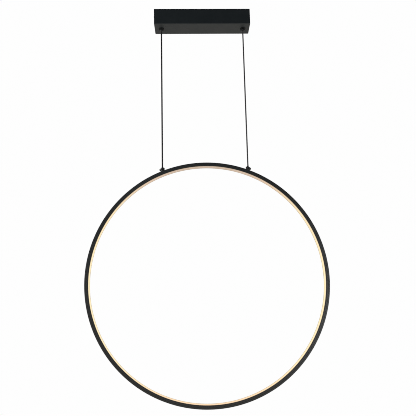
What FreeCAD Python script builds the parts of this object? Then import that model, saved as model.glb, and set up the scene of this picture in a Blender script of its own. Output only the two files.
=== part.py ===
import FreeCAD, Part
import math
import os

# Pendant light: a long ceiling box carries two cable grippers, and two taut cables carry an upright
# ring that glows inward. The origin lies on the ceiling plane at the middle of the box.
# X runs along the box, Y to the back and Z up.

# Whole light
ring_outer_r = 400.0
ring_drop = 960.0
cable_inset = 24.0
overrun = 2.0
pick_range = 0.05

# Clearances
move_gap = 0.3
slide_gap = 0.1
seat_gap = 0.05

# How far the suspension swings and sways, and how far the ring tilts, each way
swing_deg = 8.0
sway_deg = 8.0
tilt_deg = 8.0
stroke = 2.0

# Ceiling box: bent sheet, open at the top
box_len = 340.0
box_w = 62.0
box_h = 58.0
box_sheet = 1.2
box_bend_r = 2.4
rim_gap = 0.5

# Ceiling bracket: a strip with turned-down ends
bracket_w = 40.0
bracket_t = 1.5
bracket_end_gap = 0.3
bracket_bend_r = 1.2
tab_drop = 20.0
tab_w = 30.0
slot_inset = 42.0
slot_len = 24.0
slot_w = 5.5

# Screws that hold the box to the bracket ends
side_screw_drop = 12.0
side_screw_r = 2.0
side_head_r = 4.0
side_head_h = 2.6
side_head_round = 0.86
side_screw_spare = 4.0
side_hex_r = 1.8
side_hex_depth = 1.5

# Small screws inside the box
small_screw_r = 1.5
small_head_r = 2.8
small_head_h = 1.8
small_slot_w = 0.7
small_slot_depth = 0.8

# Supply entry bush and cord clamp
entry_x = 80.0
entry_hole_r = 6.5
entry_bore_r = 4.5
entry_flange_r = 9.0
entry_flange_t = 1.6
clamp_x = 62.0
clamp_len = 28.0
clamp_w = 9.0
clamp_h = 6.0
clamp_screw_y = 10.0
clamp_channel_r = 3.4

# Earth terminal
earth_x = 98.0
earth_washer_r = 5.0
earth_washer_t = 0.8

# Terminal block
block_x = 43.0
block_len = 18.0
block_h = 13.0
pole_pitch = 8.6
pole_count = 3
wire_bore_r = 1.8
well_r = 2.1
well_x = 5.0
block_screw_r = 1.3
block_head_r = 2.1
block_head_h = 1.4
clamp_screw_h = 3.0
clamp_screw_r = 1.9
pole_end_wall = 1.0

# Driver: lid against the bracket, case under it, board and components inside
driver_x = -40.0
driver_len = 100.0
driver_w = 38.0
driver_h = 22.0
driver_wall = 1.6
lid_t = 2.0
lid_lip_h = 2.4
lid_lip_wall = 1.4
lug_len = 9.0
lug_w = 16.0
board_gap = 2.0
board_t = 1.6
board_floor = 4.0
post_r = 2.0
post_inset = 5.0
transformer_len = 24.0
transformer_w = 20.0
transformer_h = 11.0
core_overhang = 2.0
core_h = 5.0
capacitor_r = 4.0
capacitor_h = 10.5
choke_r = 5.0
choke_hole_r = 2.0
choke_h = 6.0
chip_len = 9.0
chip_w = 6.0
chip_h = 2.0
capacitor_x = 28.0
capacitor_y = 7.0
choke_x = -30.0
chip_x = -17.0
chip_y = -9.0

# Leads inside the box
lead_r = 0.9
lead_depth = 5.0
lead_drop = 8.0
out_lead_y = 3.0
out_lead_len = 12.0
plug_len = 12.0
plug_w = 12.0
plug_h = 8.0
plug_edge_r = 1.0

# Swivel cup that passes through the box floor
cup_flange_r = 9.5
cup_flange_t = 2.0
cup_flange_chamfer = 0.6
cup_stem_r = 8.0
cup_floor = 5.2
cup_rise = 6.0
cup_bore_r = 6.6
nut_across = 20.0
nut_h = 3.0
lock_washer_r = 10.6
lock_washer_t = 0.8

# Swivel liner between cup and gripper
liner_t = 0.8
liner_outer_r = cup_bore_r - move_gap
liner_inner_r = liner_outer_r - liner_t

# Cable gripper: a barrel with a ball-shaped foot, a waist and a cone-shaped nose
barrel_r = liner_inner_r - move_gap
barrel_rise = 16.0
waist_r = 3.7
nose_drop = 7.2
nose_h = 4.5
nose_top_r = 6.2
nose_end_r = 4.4
chamber_r = 4.2
taper_r = 3.4
taper_low = 2.0
taper_high = 6.0
chamber_top = 14.0
cap_t = 2.0
cap_bore_r = 2.7
cap_hex_across = 9.4

# Release plunger, its clamping balls and its spring
plunger_r = 3.0
plunger_bore_r = 2.6
plunger_stub = 1.0
plunger_tip = stroke + plunger_stub
plunger_tip_chamfer = 0.3
cage_top = 8.0
cage_flange_t = 1.0
cage_flange_r = 3.9
ball_level = 4.6
clamp_ball_gap = 0.1
clamp_ball_count = 3
spring_r = 3.8
spring_bore_r = 3.0

# Cables: the left one carries the supply, the right one only the weight
left_cable_r = 2.5
right_cable_r = 2.3
cable_spare = 3.0

# Cable end: a crimped ball and a collar
end_ball_r = 3.6
collar_low = 9.4
collar_h = 2.4
collar_low_r = 3.5
collar_top_r = 2.95

# Ring anchor: base screwed into the ring, seat and cap
seat_t = 0.7
anchor_stand = 5.2
neck_r = 6.9
neck_h = 5.8
spigot_r = 5.6
spigot_h = 1.8
anchor_cap_r = 9.4
anchor_cap_h = 5.4
anchor_cap_chamfer = 0.7
shank_r = 4.0
feed_bore_r = 1.2
slide_nut_t = 3.0
slide_nut_w = 14.0
slide_nut_len = 16.0

# Ring section: outer wall, wire chamber, light floor and two side flanges
ring_w = 26.0
ring_t = 13.0
ring_wall = 1.6
ring_flange = 2.2
chamber_depth = 4.2
light_floor_t = 1.2
edge_bevel = 0.8
groove_r_from_rim = 6.5
groove_w = 0.6
groove_depth = 0.5
outer_slope = 0.5
ring_seam = 0.4

# Diffuser of the ring, held by a bead in each flange
diffuser_t = 1.6
diffuser_inset = 0.2
bead_h = 1.0
bead_depth = 0.6
bead_from_rim = 0.5

# Light strip
strip_w = 10.0
strip_t = 0.3
led_count = 96
led_len = 3.5
led_w = 2.8
led_h = 0.7

# Splice inside the ring seam
splice_len = 44.0
splice_w = 20.0
splice_gap = 0.2
splice_screw_r = 1.5
splice_screw_y = 7.5
splice_screw_near = 7.0
splice_screw_far = 16.0
splice_screw_depth = 3.0

# Places worked out from the sizes above
cable_x = box_len / 2 - cable_inset
slot_x = box_len / 2 - slot_inset
pivot_z = -box_h - cup_flange_t + cup_floor
anchor_ball_r = ring_outer_r + anchor_stand
anchor_angle = math.asin(cable_x / anchor_ball_r)
end_z = -ring_drop + anchor_ball_r * math.cos(anchor_angle)
ring_inner_r = ring_outer_r - ring_t
chamber_outer_r = ring_outer_r - ring_wall
chamber_inner_r = chamber_outer_r - chamber_depth
light_floor_r = chamber_inner_r - light_floor_t
seat_inner_r = end_ball_r + move_gap
seat_outer_r = seat_inner_r + seat_t
socket_r = seat_outer_r + move_gap
cable_top_z = pivot_z + barrel_rise + cap_t + cable_spare
nose_end_z = pivot_z - nose_drop - nose_h
under_bracket = -bracket_t
driver_case_top = under_bracket - lid_t
block_w = pole_count * pole_pitch + pole_end_wall
block_end_x = block_x - block_len / 2
driver_left_x = driver_x - driver_len / 2
driver_right_x = driver_x + driver_len / 2
both_ways_deg = math.degrees(math.hypot(math.radians(swing_deg), math.radians(sway_deg)))
both_ends_deg = math.degrees(math.hypot(math.radians(tilt_deg), math.radians(sway_deg)))

along_x = FreeCAD.Vector(1, 0, 0)
along_y = FreeCAD.Vector(0, 1, 0)
along_z = FreeCAD.Vector(0, 0, 1)


def at(x, y, z):
    return FreeCAD.Vector(x, y, z)


def block(x0, x1, y0, y1, z0, z1):
    return Part.makeBox(x1 - x0, y1 - y0, z1 - z0, at(x0, y0, z0))


def rod(r, start, end):
    run = end - start
    return Part.makeCylinder(r, run.Length, start, run)


def upright(r, x, y, z0, z1):
    return Part.makeCylinder(r, z1 - z0, at(x, y, z0))


def turned(points, x=0.0, y=0.0, z=0.0):
    # A solid turned about an upright axis from (radius, height) points
    corners = [at(x + r, y, z + h) for r, h in points]
    face = Part.Face(Part.makePolygon(corners + corners[:1]))
    return face.revolve(at(x, y, z), along_z, 360)


def hexagon(across, x, y, z0, z1):
    corner_r = across / math.sqrt(3)
    corners = [
        at(x + corner_r * math.cos(math.radians(60 * n)), y + corner_r * math.sin(math.radians(60 * n)), z0)
        for n in range(7)
    ]
    return Part.Face(Part.makePolygon(corners)).extrude(at(0, 0, z1 - z0))


def mirrored(shape):
    return shape.mirror(at(0, 0, 0), along_x)


def swivel_cone(r, angle_deg, length, centre, downward):
    # The room that a rod of radius r needs when it swivels about a ball's centre
    slope = math.tan(math.radians(angle_deg))
    direction = -along_z if downward else along_z
    return Part.makeCone(r, r + length * slope, length, centre, direction)


def small_screw(x, y, head_top, length):
    # Head below, shank up, with a driver slot across the head
    shape = upright(small_screw_r, x, y, head_top, head_top + length)
    head = upright(small_head_r, x, y, head_top - small_head_h, head_top)
    slot_z = head_top - small_head_h
    slot = block(x - small_head_r, x + small_head_r, y - small_slot_w / 2, y + small_slot_w / 2,
                 slot_z, slot_z + small_slot_depth)
    return shape.fuse(head).cut(slot)


def ceiling_bracket():
    half = box_len / 2 - box_sheet - bracket_end_gap
    strip = block(-half, half, -bracket_w / 2, bracket_w / 2, -bracket_t, 0)
    for side in (-1, 1):
        inner = side * (half - bracket_t)
        tab = block(min(inner, side * half), max(inner, side * half), -tab_w / 2, tab_w / 2, -tab_drop, 0)
        strip = strip.fuse(tab)
    strip = strip.removeSplitter()
    bends = [e for e in strip.Edges if abs(e.CenterOfMass.z) < pick_range
             and abs(abs(e.CenterOfMass.x) - half) < pick_range]
    strip = strip.makeFillet(bracket_bend_r, bends)
    holes = [upright(entry_hole_r, entry_x, 0, -bracket_t - overrun, overrun)]
    for x, y in bracket_screw_places() + [(earth_x, 0)]:
        holes.append(upright(small_screw_r, x, y, -bracket_t - overrun, overrun))
    for x, y in block_screw_places():
        holes.append(upright(block_screw_r, x, y, -bracket_t - overrun, overrun))
    for side in (-1, 1):
        holes.append(ceiling_slot(side * slot_x))
        start = at(side * (half - bracket_t - overrun), 0, -side_screw_drop)
        end = at(side * (half + overrun), 0, -side_screw_drop)
        holes.append(rod(side_screw_r, start, end))
    return strip.cut(Part.makeCompound(holes))


def ceiling_slot(x):
    straight = (slot_len - slot_w) / 2
    shape = block(x - straight, x + straight, -slot_w / 2, slot_w / 2, -bracket_t - overrun, overrun)
    for end in (x - straight, x + straight):
        shape = shape.fuse(upright(slot_w / 2, end, 0, -bracket_t - overrun, overrun))
    return shape


def bracket_screw_places():
    lug = driver_len / 2 + lug_len / 2
    driver = [(driver_x - lug, 0), (driver_x + lug, 0)]
    clamp = [(clamp_x, -clamp_screw_y), (clamp_x, clamp_screw_y)]
    return driver + clamp


def block_screw_places():
    return [(block_x, side * pole_pitch / 2) for side in (-1, 1)]


def bent_box(grow, bend_r, top):
    half_x = box_len / 2 + grow
    half_y = box_w / 2 + grow
    shape = block(-half_x, half_x, -half_y, half_y, -box_h - grow, top)
    low = -box_h - grow
    bends = []
    for edge in shape.Edges:
        z = [v.Z for v in edge.Vertexes]
        if abs(z[0] - z[1]) > pick_range or abs(z[0] - low) < pick_range:
            bends.append(edge)
    return shape.makeFillet(bend_r, bends)


def canopy_housing():
    shell = bent_box(0, box_bend_r, -rim_gap)
    hollow = bent_box(-box_sheet, box_bend_r - box_sheet, overrun)
    shell = shell.cut(hollow)
    for side in (-1, 1):
        stem = upright(cup_stem_r + seat_gap, side * cable_x, 0, -box_h - overrun, -box_h + overrun)
        start = at(side * (box_len / 2 - box_sheet - overrun), 0, -side_screw_drop)
        end = at(side * (box_len / 2 + overrun), 0, -side_screw_drop)
        shell = shell.cut(stem).cut(rod(side_screw_r + seat_gap, start, end))
    return shell


def canopy_side_screws():
    face_x = box_len / 2
    reach = box_sheet + bracket_end_gap + bracket_t + side_screw_spare
    level = -side_screw_drop
    shank = rod(side_screw_r, at(face_x - reach, 0, level), at(face_x, 0, level))
    head = rod(side_head_r, at(face_x, 0, level), at(face_x + side_head_h, 0, level))
    rim = [e for e in head.Edges if abs(e.CenterOfMass.x - face_x - side_head_h) < pick_range]
    head = head.makeFillet(side_head_round, rim)
    key = hexagon(side_hex_r * math.sqrt(3), 0, 0, 0, side_hex_depth + overrun)
    key.rotate(at(0, 0, 0), along_y, 90)
    key.translate(at(face_x + side_head_h - side_hex_depth, 0, level))
    screw = shank.fuse(head).cut(key)
    return Part.makeCompound([screw, mirrored(screw)])


def entry_bush():
    low = under_bracket - entry_flange_t
    return turned([(entry_bore_r, 0), (entry_hole_r, 0), (entry_hole_r, under_bracket),
                   (entry_flange_r, under_bracket), (entry_flange_r, low), (entry_bore_r, low)], entry_x)


def cord_clamp():
    low = under_bracket - clamp_h
    bar = block(clamp_x - clamp_w / 2, clamp_x + clamp_w / 2, -clamp_len / 2, clamp_len / 2,
                low, under_bracket)
    channel = rod(clamp_channel_r, at(clamp_x - clamp_w, 0, under_bracket),
                  at(clamp_x + clamp_w, 0, under_bracket))
    bar = bar.cut(channel)
    for side in (-1, 1):
        bar = bar.cut(upright(small_screw_r, clamp_x, side * clamp_screw_y, low - overrun, overrun))
    return bar


def cord_clamp_screws():
    low = under_bracket - clamp_h
    length = clamp_h + bracket_t
    return Part.makeCompound([small_screw(clamp_x, side * clamp_screw_y, low, length) for side in (-1, 1)])


def earth_screw():
    return small_screw(earth_x, 0, under_bracket - earth_washer_t, earth_washer_t + bracket_t)


def earth_washer():
    low = under_bracket - earth_washer_t
    ring = upright(earth_washer_r, earth_x, 0, low, under_bracket)
    return ring.cut(upright(small_screw_r, earth_x, 0, low - overrun, overrun))


def pole_places():
    return [(n - (pole_count - 1) / 2) * pole_pitch for n in range(pole_count)]


def wire_level():
    return under_bracket - lead_drop


def terminal_block():
    low = under_bracket - block_h
    shape = block(block_end_x, block_end_x + block_len, -block_w / 2, block_w / 2, low, under_bracket)
    level = wire_level()
    for y in pole_places():
        start = at(block_end_x - overrun, y, level)
        shape = shape.cut(rod(wire_bore_r, start, at(block_end_x + block_len + overrun, y, level)))
        for side in (-1, 1):
            shape = shape.cut(upright(well_r, block_x + side * well_x, y, low - overrun, level))
    for x, y in block_screw_places():
        shape = shape.cut(upright(block_screw_r, x, y, low - overrun, overrun))
        shape = shape.cut(upright(block_head_r + seat_gap, x, y, low - overrun, low + block_head_h))
    return shape


def terminal_screws():
    # One grub screw in each well, standing on the wire or just under the bore
    low = under_bracket - block_h
    screws = []
    for y in pole_places():
        for side in (-1, 1):
            x = block_x + side * well_x
            screw = upright(clamp_screw_r, x, y, low, low + clamp_screw_h)
            slot = block(x - clamp_screw_r, x + clamp_screw_r, y - small_slot_w / 2, y + small_slot_w / 2,
                         low, low + small_slot_depth)
            screws.append(screw.cut(slot))
    return Part.makeCompound(screws)


def terminal_block_screws():
    low = under_bracket - block_h
    screws = []
    for x, y in block_screw_places():
        head = upright(block_head_r, x, y, low, low + block_head_h)
        screws.append(head.fuse(upright(block_screw_r, x, y, low, 0)))
    return Part.makeCompound(screws)


def driver_lid():
    plate = block(driver_left_x, driver_right_x, -driver_w / 2, driver_w / 2, driver_case_top, under_bracket)
    lugs = block(driver_left_x - lug_len, driver_right_x + lug_len, -lug_w / 2, lug_w / 2,
                 driver_case_top, under_bracket)
    reach = driver_wall + seat_gap
    lip = block(driver_left_x + reach, driver_right_x - reach, -driver_w / 2 + reach, driver_w / 2 - reach,
                driver_case_top - lid_lip_h, driver_case_top)
    inner = reach + lid_lip_wall
    lip = lip.cut(block(driver_left_x + inner, driver_right_x - inner, -driver_w / 2 + inner,
                        driver_w / 2 - inner, driver_case_top - lid_lip_h - overrun, driver_case_top))
    lid = plate.fuse(lugs).fuse(lip).removeSplitter()
    for x, y in bracket_screw_places()[:2]:
        lid = lid.cut(upright(small_screw_r, x, y, driver_case_top - overrun, 0))
    return lid


def driver_floor():
    return under_bracket - driver_h


def driver_lead_places():
    supply = [(driver_right_x, y) for y in pole_places()[1:]]
    output = [(driver_left_x, side * out_lead_y) for side in (-1, 1)]
    return supply + output


def board_posts():
    x = driver_len / 2 - driver_wall - board_gap - post_inset
    y = driver_w / 2 - driver_wall - board_gap - post_inset
    return [(driver_x + sx * x, sy * y) for sx in (-1, 1) for sy in (-1, 1)]


def driver_case():
    low = driver_floor()
    case = block(driver_left_x, driver_right_x, -driver_w / 2, driver_w / 2, low, driver_case_top)
    case = case.cut(block(driver_left_x + driver_wall, driver_right_x - driver_wall,
                          -driver_w / 2 + driver_wall, driver_w / 2 - driver_wall,
                          low + driver_wall, driver_case_top + overrun))
    for x, y in board_posts():
        case = case.fuse(upright(post_r, x, y, low + driver_wall, low + board_floor))
    for x, y in driver_lead_places():
        case = case.cut(rod(lead_r, at(x - lead_depth, y, wire_level()), at(x + lead_depth, y, wire_level())))
    return case


def driver_board():
    x = driver_len / 2 - driver_wall - board_gap
    y = driver_w / 2 - driver_wall - board_gap
    low = driver_floor() + board_floor
    return block(driver_x - x, driver_x + x, -y, y, low, low + board_t)


def driver_components():
    low = driver_floor() + board_floor + board_t
    bobbin = block(driver_x - transformer_len / 2, driver_x + transformer_len / 2,
                   -transformer_w / 2, transformer_w / 2, low, low + transformer_h)
    core_low = low + (transformer_h - core_h) / 2
    core_x = transformer_len / 2 - core_overhang
    core_y = transformer_w / 2 + core_overhang
    core = block(driver_x - core_x, driver_x + core_x, -core_y, core_y, core_low, core_low + core_h)
    parts = [bobbin.fuse(core)]
    for side in (-1, 1):
        parts.append(upright(capacitor_r, driver_x + capacitor_x, side * capacitor_y, low, low + capacitor_h))
    place_x = driver_x + choke_x
    choke = upright(choke_r, place_x, 0, low, low + choke_h)
    parts.append(choke.cut(upright(choke_hole_r, place_x, 0, low - overrun, low + choke_h + overrun)))
    parts.append(block(driver_x + chip_x - chip_len / 2, driver_x + chip_x + chip_len / 2,
                       chip_y - chip_w / 2, chip_y + chip_w / 2, low, low + chip_h))
    return Part.makeCompound(parts)


def driver_screws():
    length = lid_t + bracket_t
    places = bracket_screw_places()[:2]
    return Part.makeCompound([small_screw(x, y, driver_case_top, length) for x, y in places])


def supply_leads():
    leads = []
    for x, y in driver_lead_places()[:2]:
        leads.append(rod(lead_r, at(x - driver_wall, y, wire_level()),
                         at(block_end_x + lead_depth, y, wire_level())))
    return Part.makeCompound(leads)


def output_leads():
    leads = []
    for x, y in driver_lead_places()[2:]:
        leads.append(rod(lead_r, at(x - out_lead_len, y, wire_level()), at(x + driver_wall, y, wire_level())))
    return Part.makeCompound(leads)


def output_plug():
    right = driver_left_x - out_lead_len
    level = wire_level()
    plug = block(right - plug_len, right, -plug_w / 2, plug_w / 2, level - plug_h / 2, level + plug_h / 2)
    long_edges = [e for e in plug.Edges if abs(e.Vertexes[0].X - e.Vertexes[-1].X) > plug_len / 2]
    return plug.makeFillet(plug_edge_r, long_edges)


def gripper_cup(x):
    top = pivot_z + cup_rise
    flange_low = -box_h - cup_flange_t
    chamfer = cup_flange_chamfer
    cup = turned([(0, top), (cup_stem_r, top), (cup_stem_r, -box_h), (cup_flange_r, -box_h),
                  (cup_flange_r, flange_low + chamfer), (cup_flange_r - chamfer, flange_low),
                  (0, flange_low)], x)
    cup = cup.cut(upright(cup_bore_r, x, 0, pivot_z, top + overrun))
    cup = cup.cut(Part.makeSphere(cup_bore_r, at(x, 0, pivot_z)))
    mouth = swivel_cone(waist_r + move_gap, both_ways_deg, cup_floor + overrun, at(x, 0, pivot_z), True)
    return cup.cut(mouth)


def gripper_locknuts():
    low = -box_h + box_sheet + lock_washer_t
    nuts = []
    for side in (-1, 1):
        nut = hexagon(nut_across, side * cable_x, 0, low, low + nut_h)
        nuts.append(nut.cut(upright(cup_stem_r, side * cable_x, 0, low - overrun, low + nut_h + overrun)))
    return Part.makeCompound(nuts)


def gripper_lock_washers():
    low = -box_h + box_sheet
    top = low + lock_washer_t
    washers = []
    for side in (-1, 1):
        washer = upright(lock_washer_r, side * cable_x, 0, low, top)
        washers.append(washer.cut(upright(cup_stem_r, side * cable_x, 0, low - overrun, top + overrun)))
    return Part.makeCompound(washers)


def swivel_liner(x):
    centre = at(x, 0, pivot_z)
    liner = Part.makeSphere(liner_outer_r, centre).cut(Part.makeSphere(liner_inner_r, centre))
    reach = liner_outer_r + overrun
    liner = liner.cut(block(x - reach, x + reach, -reach, reach, pivot_z, pivot_z + reach))
    return liner.cut(swivel_cone(waist_r + move_gap / 2, sway_deg, reach, centre, True))


def gripper_barrel(x):
    centre = at(x, 0, pivot_z)
    barrel = upright(barrel_r, x, 0, pivot_z, pivot_z + barrel_rise)
    barrel = barrel.fuse(Part.makeSphere(barrel_r, centre))
    barrel = barrel.fuse(upright(waist_r, x, 0, pivot_z - nose_drop, pivot_z))
    nose = Part.makeCone(nose_end_r, nose_top_r, nose_h, at(x, 0, nose_end_z))
    barrel = barrel.fuse(nose).removeSplitter()
    bore_r = plunger_r + slide_gap
    barrel = barrel.cut(upright(bore_r, x, 0, nose_end_z - overrun, pivot_z + barrel_rise + overrun))
    taper = Part.makeCone(taper_r, chamber_r, taper_high - taper_low, at(x, 0, pivot_z + taper_low))
    chamber = upright(chamber_r, x, 0, pivot_z + taper_high, pivot_z + barrel_rise + overrun)
    return barrel.cut(taper).cut(chamber)


def gripper_cap(x):
    low = pivot_z + chamber_top
    seat = pivot_z + barrel_rise
    cap = upright(chamber_r, x, 0, low, seat).fuse(hexagon(cap_hex_across, x, 0, seat, seat + cap_t))
    return cap.cut(upright(cap_bore_r, x, 0, low - overrun, seat + cap_t + overrun))


def clamp_ball_places(x, cable_r):
    # Balls between the cable and the taper, as (centre, radius)
    taper_here = taper_r + (chamber_r - taper_r) * (ball_level - taper_low) / (taper_high - taper_low)
    path_r = (cable_r + taper_here) / 2
    ball_r = (taper_here - cable_r) / 2 - clamp_ball_gap
    places = []
    for n in range(clamp_ball_count):
        angle = 2 * math.pi * n / clamp_ball_count
        centre = at(x + path_r * math.cos(angle), path_r * math.sin(angle), pivot_z + ball_level)
        places.append((centre, ball_r))
    return places


def release_plunger(x, cable_r):
    tip_z = nose_end_z - plunger_tip
    top = pivot_z + cage_top
    flange = top - cage_flange_t
    chamfer = plunger_tip_chamfer
    plunger = turned([(plunger_bore_r, tip_z), (plunger_r - chamfer, tip_z), (plunger_r, tip_z + chamfer),
                      (plunger_r, flange), (cage_flange_r, flange), (cage_flange_r, top),
                      (plunger_bore_r, top)], x)
    axis_point = at(x, 0, pivot_z + ball_level)
    for centre, ball_r in clamp_ball_places(x, cable_r):
        outward = centre - axis_point
        end = axis_point + outward * (chamber_r / outward.Length)
        plunger = plunger.cut(rod(ball_r + seat_gap, axis_point, end))
    return plunger


def clamp_balls(x, cable_r):
    return Part.makeCompound([Part.makeSphere(r, centre) for centre, r in clamp_ball_places(x, cable_r)])


def release_spring(x):
    low = pivot_z + cage_top
    high = pivot_z + chamber_top
    return upright(spring_r, x, 0, low, high).cut(upright(spring_bore_r, x, 0, low - overrun, high + overrun))


def suspension_cable(x, cable_r):
    return upright(cable_r, x, 0, end_z, cable_top_z)


def cable_ball(x, cable_r):
    ball = Part.makeSphere(end_ball_r, at(x, 0, end_z))
    return ball.cut(upright(cable_r, x, 0, end_z, end_z + end_ball_r + overrun))


def cable_collar(x, cable_r):
    low = end_z + collar_low
    collar = Part.makeCone(collar_low_r, collar_top_r, collar_h, at(x, 0, low))
    return collar.cut(upright(cable_r, x, 0, low - overrun, low + collar_h + overrun))


def ball_seat(x, cable_r):
    centre = at(x, 0, end_z)
    seat = Part.makeSphere(seat_outer_r, centre).cut(Part.makeSphere(seat_inner_r, centre))
    reach = seat_outer_r + overrun
    seat = seat.cut(block(x - reach, x + reach, -reach, reach, end_z - reach, end_z))
    return seat.cut(swivel_cone(cable_r + move_gap / 2, sway_deg, reach, centre, False))


def on_ring(shape, angle):
    # Turns a piece made upright over the ring's top to its place round the ring
    shape.rotate(at(0, 0, -ring_drop), along_y, math.degrees(angle))
    return shape


def above_ring(height):
    return -ring_drop + ring_outer_r + height


def anchor_cavity(x, cable_r):
    # The ball seat's socket, and the mouth that the cable swivels in
    centre = at(x, 0, end_z)
    mouth = swivel_cone(cable_r + move_gap, both_ends_deg, socket_r + anchor_cap_h + overrun, centre, False)
    return Part.makeSphere(socket_r, centre).fuse(mouth)


def anchor_base(side, cable_r):
    shank_low = above_ring(-ring_wall - slide_nut_t)
    base = upright(neck_r, 0, 0, above_ring(-ring_wall / 2), above_ring(neck_h))
    ring_body = Part.makeCylinder(ring_outer_r, ring_w * 2, at(0, -ring_w, -ring_drop), along_y)
    base = base.cut(ring_body)
    base = base.fuse(upright(shank_r, 0, 0, shank_low, above_ring(neck_h / 2)))
    base = base.fuse(upright(spigot_r, 0, 0, above_ring(neck_h), above_ring(neck_h + spigot_h)))
    base = base.removeSplitter()
    base = base.cut(upright(feed_bore_r, 0, 0, shank_low - overrun, above_ring(anchor_stand)))
    base = on_ring(base, side * anchor_angle)
    return base.cut(anchor_cavity(side * cable_x, cable_r))


def anchor_cap(side, cable_r):
    low = above_ring(neck_h)
    top = low + anchor_cap_h
    chamfer = anchor_cap_chamfer
    cap = turned([(0, low), (anchor_cap_r - chamfer, low), (anchor_cap_r, low + chamfer),
                  (anchor_cap_r, top - chamfer), (anchor_cap_r - chamfer, top), (0, top)])
    cap = cap.cut(upright(spigot_r, 0, 0, low - overrun, low + spigot_h))
    cap = on_ring(cap, side * anchor_angle)
    return cap.cut(anchor_cavity(side * cable_x, cable_r))


def ring_sweep(points, degrees, middle):
    # Sweeps (radius, y) points round the ring's axis, centred on an angle from the top
    corners = [at(0, y, r) for r, y in points]
    face = Part.Face(Part.makePolygon(corners + corners[:1]))
    return place_sweep(face, degrees, middle)


def place_sweep(face, degrees, middle):
    shape = face.revolve(at(0, 0, 0), along_y, degrees)
    shape.rotate(at(0, 0, 0), along_y, middle - degrees / 2)
    shape.translate(at(0, 0, -ring_drop))
    return shape


def degrees_of(length, r):
    return math.degrees(length / r)


def open_sweep():
    return 360 - degrees_of(ring_seam, ring_outer_r)


def anchor_slide_nuts():
    nuts = []
    outer = chamber_outer_r
    half = slide_nut_w / 2
    for side in (-1, 1):
        nut = ring_sweep([(outer, -half), (outer, half), (outer - slide_nut_t, half),
                          (outer - slide_nut_t, -half)],
                         degrees_of(slide_nut_len, outer), side * math.degrees(anchor_angle))
        hole = on_ring(upright(shank_r, 0, 0, above_ring(-ring_t), above_ring(overrun)), side * anchor_angle)
        nuts.append(nut.cut(hole))
    return Part.makeCompound(nuts)


def half_section():
    # One half of the ring section's outline, from the inner rim outward, as (radius, y)
    half = ring_w / 2
    inside = half - ring_flange
    bead_low = ring_inner_r + bead_from_rim
    bead_high = bead_low + bead_h
    groove = ring_outer_r - groove_r_from_rim
    return [
        (light_floor_r, inside), (bead_high, inside), (bead_high, inside + bead_depth),
        (bead_low, inside + bead_depth), (bead_low, inside), (ring_inner_r, inside),
        (ring_inner_r, half), (groove, half), (groove, half - groove_depth),
        (groove + groove_w, half - groove_depth), (groove + groove_w, half),
        (ring_outer_r - edge_bevel, half - outer_slope), (ring_outer_r, half - outer_slope - edge_bevel),
    ]


def ring_profile():
    outline = half_section()
    outline += [(r, -y) for r, y in reversed(outline)]
    corners = [at(0, y, r) for r, y in outline]
    section = Part.Face(Part.makePolygon(corners + corners[:1]))
    inside = ring_w / 2 - ring_flange
    room = [at(0, -inside, chamber_inner_r), at(0, inside, chamber_inner_r),
            at(0, inside, chamber_outer_r), at(0, -inside, chamber_outer_r)]
    section = section.cut(Part.Face(Part.makePolygon(room + room[:1])))
    ring = place_sweep(section.Faces[0], open_sweep(), 0)
    cuts = []
    for side in (-1, 1):
        cuts.append(on_ring(upright(shank_r, 0, 0, above_ring(-ring_wall - overrun), above_ring(overrun)),
                            side * anchor_angle))
    feed = upright(feed_bore_r, 0, 0, -ring_drop + light_floor_r - overrun,
                   -ring_drop + chamber_inner_r + overrun)
    cuts.append(on_ring(feed, -anchor_angle))
    cuts += [rod(splice_screw_r, *ends) for ends in splice_screw_ends()]
    return ring.cut(Part.makeCompound(cuts))


def splice_screw_ends():
    # Start and end of each splice screw, as points; they run from the light floor outward
    ends = []
    for along in (-splice_screw_far, -splice_screw_near, splice_screw_near, splice_screw_far):
        angle = math.pi + along / light_floor_r
        for y in (-splice_screw_y, splice_screw_y):
            place = []
            for r in (light_floor_r, light_floor_r + light_floor_t + splice_screw_depth):
                place.append(at(r * math.sin(angle), y, -ring_drop + r * math.cos(angle)))
            ends.append(place)
    return ends


def splice_plate():
    half = splice_w / 2
    low = chamber_inner_r + splice_gap
    high = chamber_outer_r - splice_gap
    plate = ring_sweep([(low, -half), (low, half), (high, half), (high, -half)],
                       degrees_of(splice_len, high), 180)
    return plate.cut(Part.makeCompound([rod(splice_screw_r, *ends) for ends in splice_screw_ends()]))


def splice_screws():
    return Part.makeCompound([rod(splice_screw_r, *ends) for ends in splice_screw_ends()])


def ring_diffuser():
    half = ring_w / 2 - ring_flange
    low = ring_inner_r + diffuser_inset
    bead_low = ring_inner_r + bead_from_rim
    bead_high = bead_low + bead_h
    top = ring_inner_r + diffuser_t
    side = [(top, half), (bead_high, half), (bead_high, half + bead_depth), (bead_low, half + bead_depth),
            (bead_low, half), (low, half)]
    return ring_sweep(side + [(r, -y) for r, y in reversed(side)], open_sweep(), 0)


def led_strip():
    half = strip_w / 2
    low = light_floor_r - strip_t
    return ring_sweep([(low, -half), (low, half), (light_floor_r, half), (light_floor_r, -half)],
                      open_sweep(), 0)


def led_chips():
    # Each chip is flat and lies across the strip's curve, so only its two ends touch the strip
    top = math.sqrt((light_floor_r - strip_t) ** 2 - (led_len / 2) ** 2)
    chips = []
    for n in range(led_count):
        chip = block(-led_len / 2, led_len / 2, -led_w / 2, led_w / 2,
                     -ring_drop + top - led_h, -ring_drop + top)
        chips.append(on_ring(chip, 2 * math.pi * (n + 0.5) / led_count))
    return Part.makeCompound(chips)


def ring_feed_lead():
    lead = upright(lead_r, 0, 0, -ring_drop + light_floor_r, above_ring(-ring_wall))
    return on_ring(lead, -anchor_angle)


def save(name, shape):
    shape.exportStep("parts/" + name + ".step")
    print(name, len(shape.Solids), "solids", round(shape.Volume), "mm3",
          "valid" if shape.isValid() else "NOT VALID")


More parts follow.
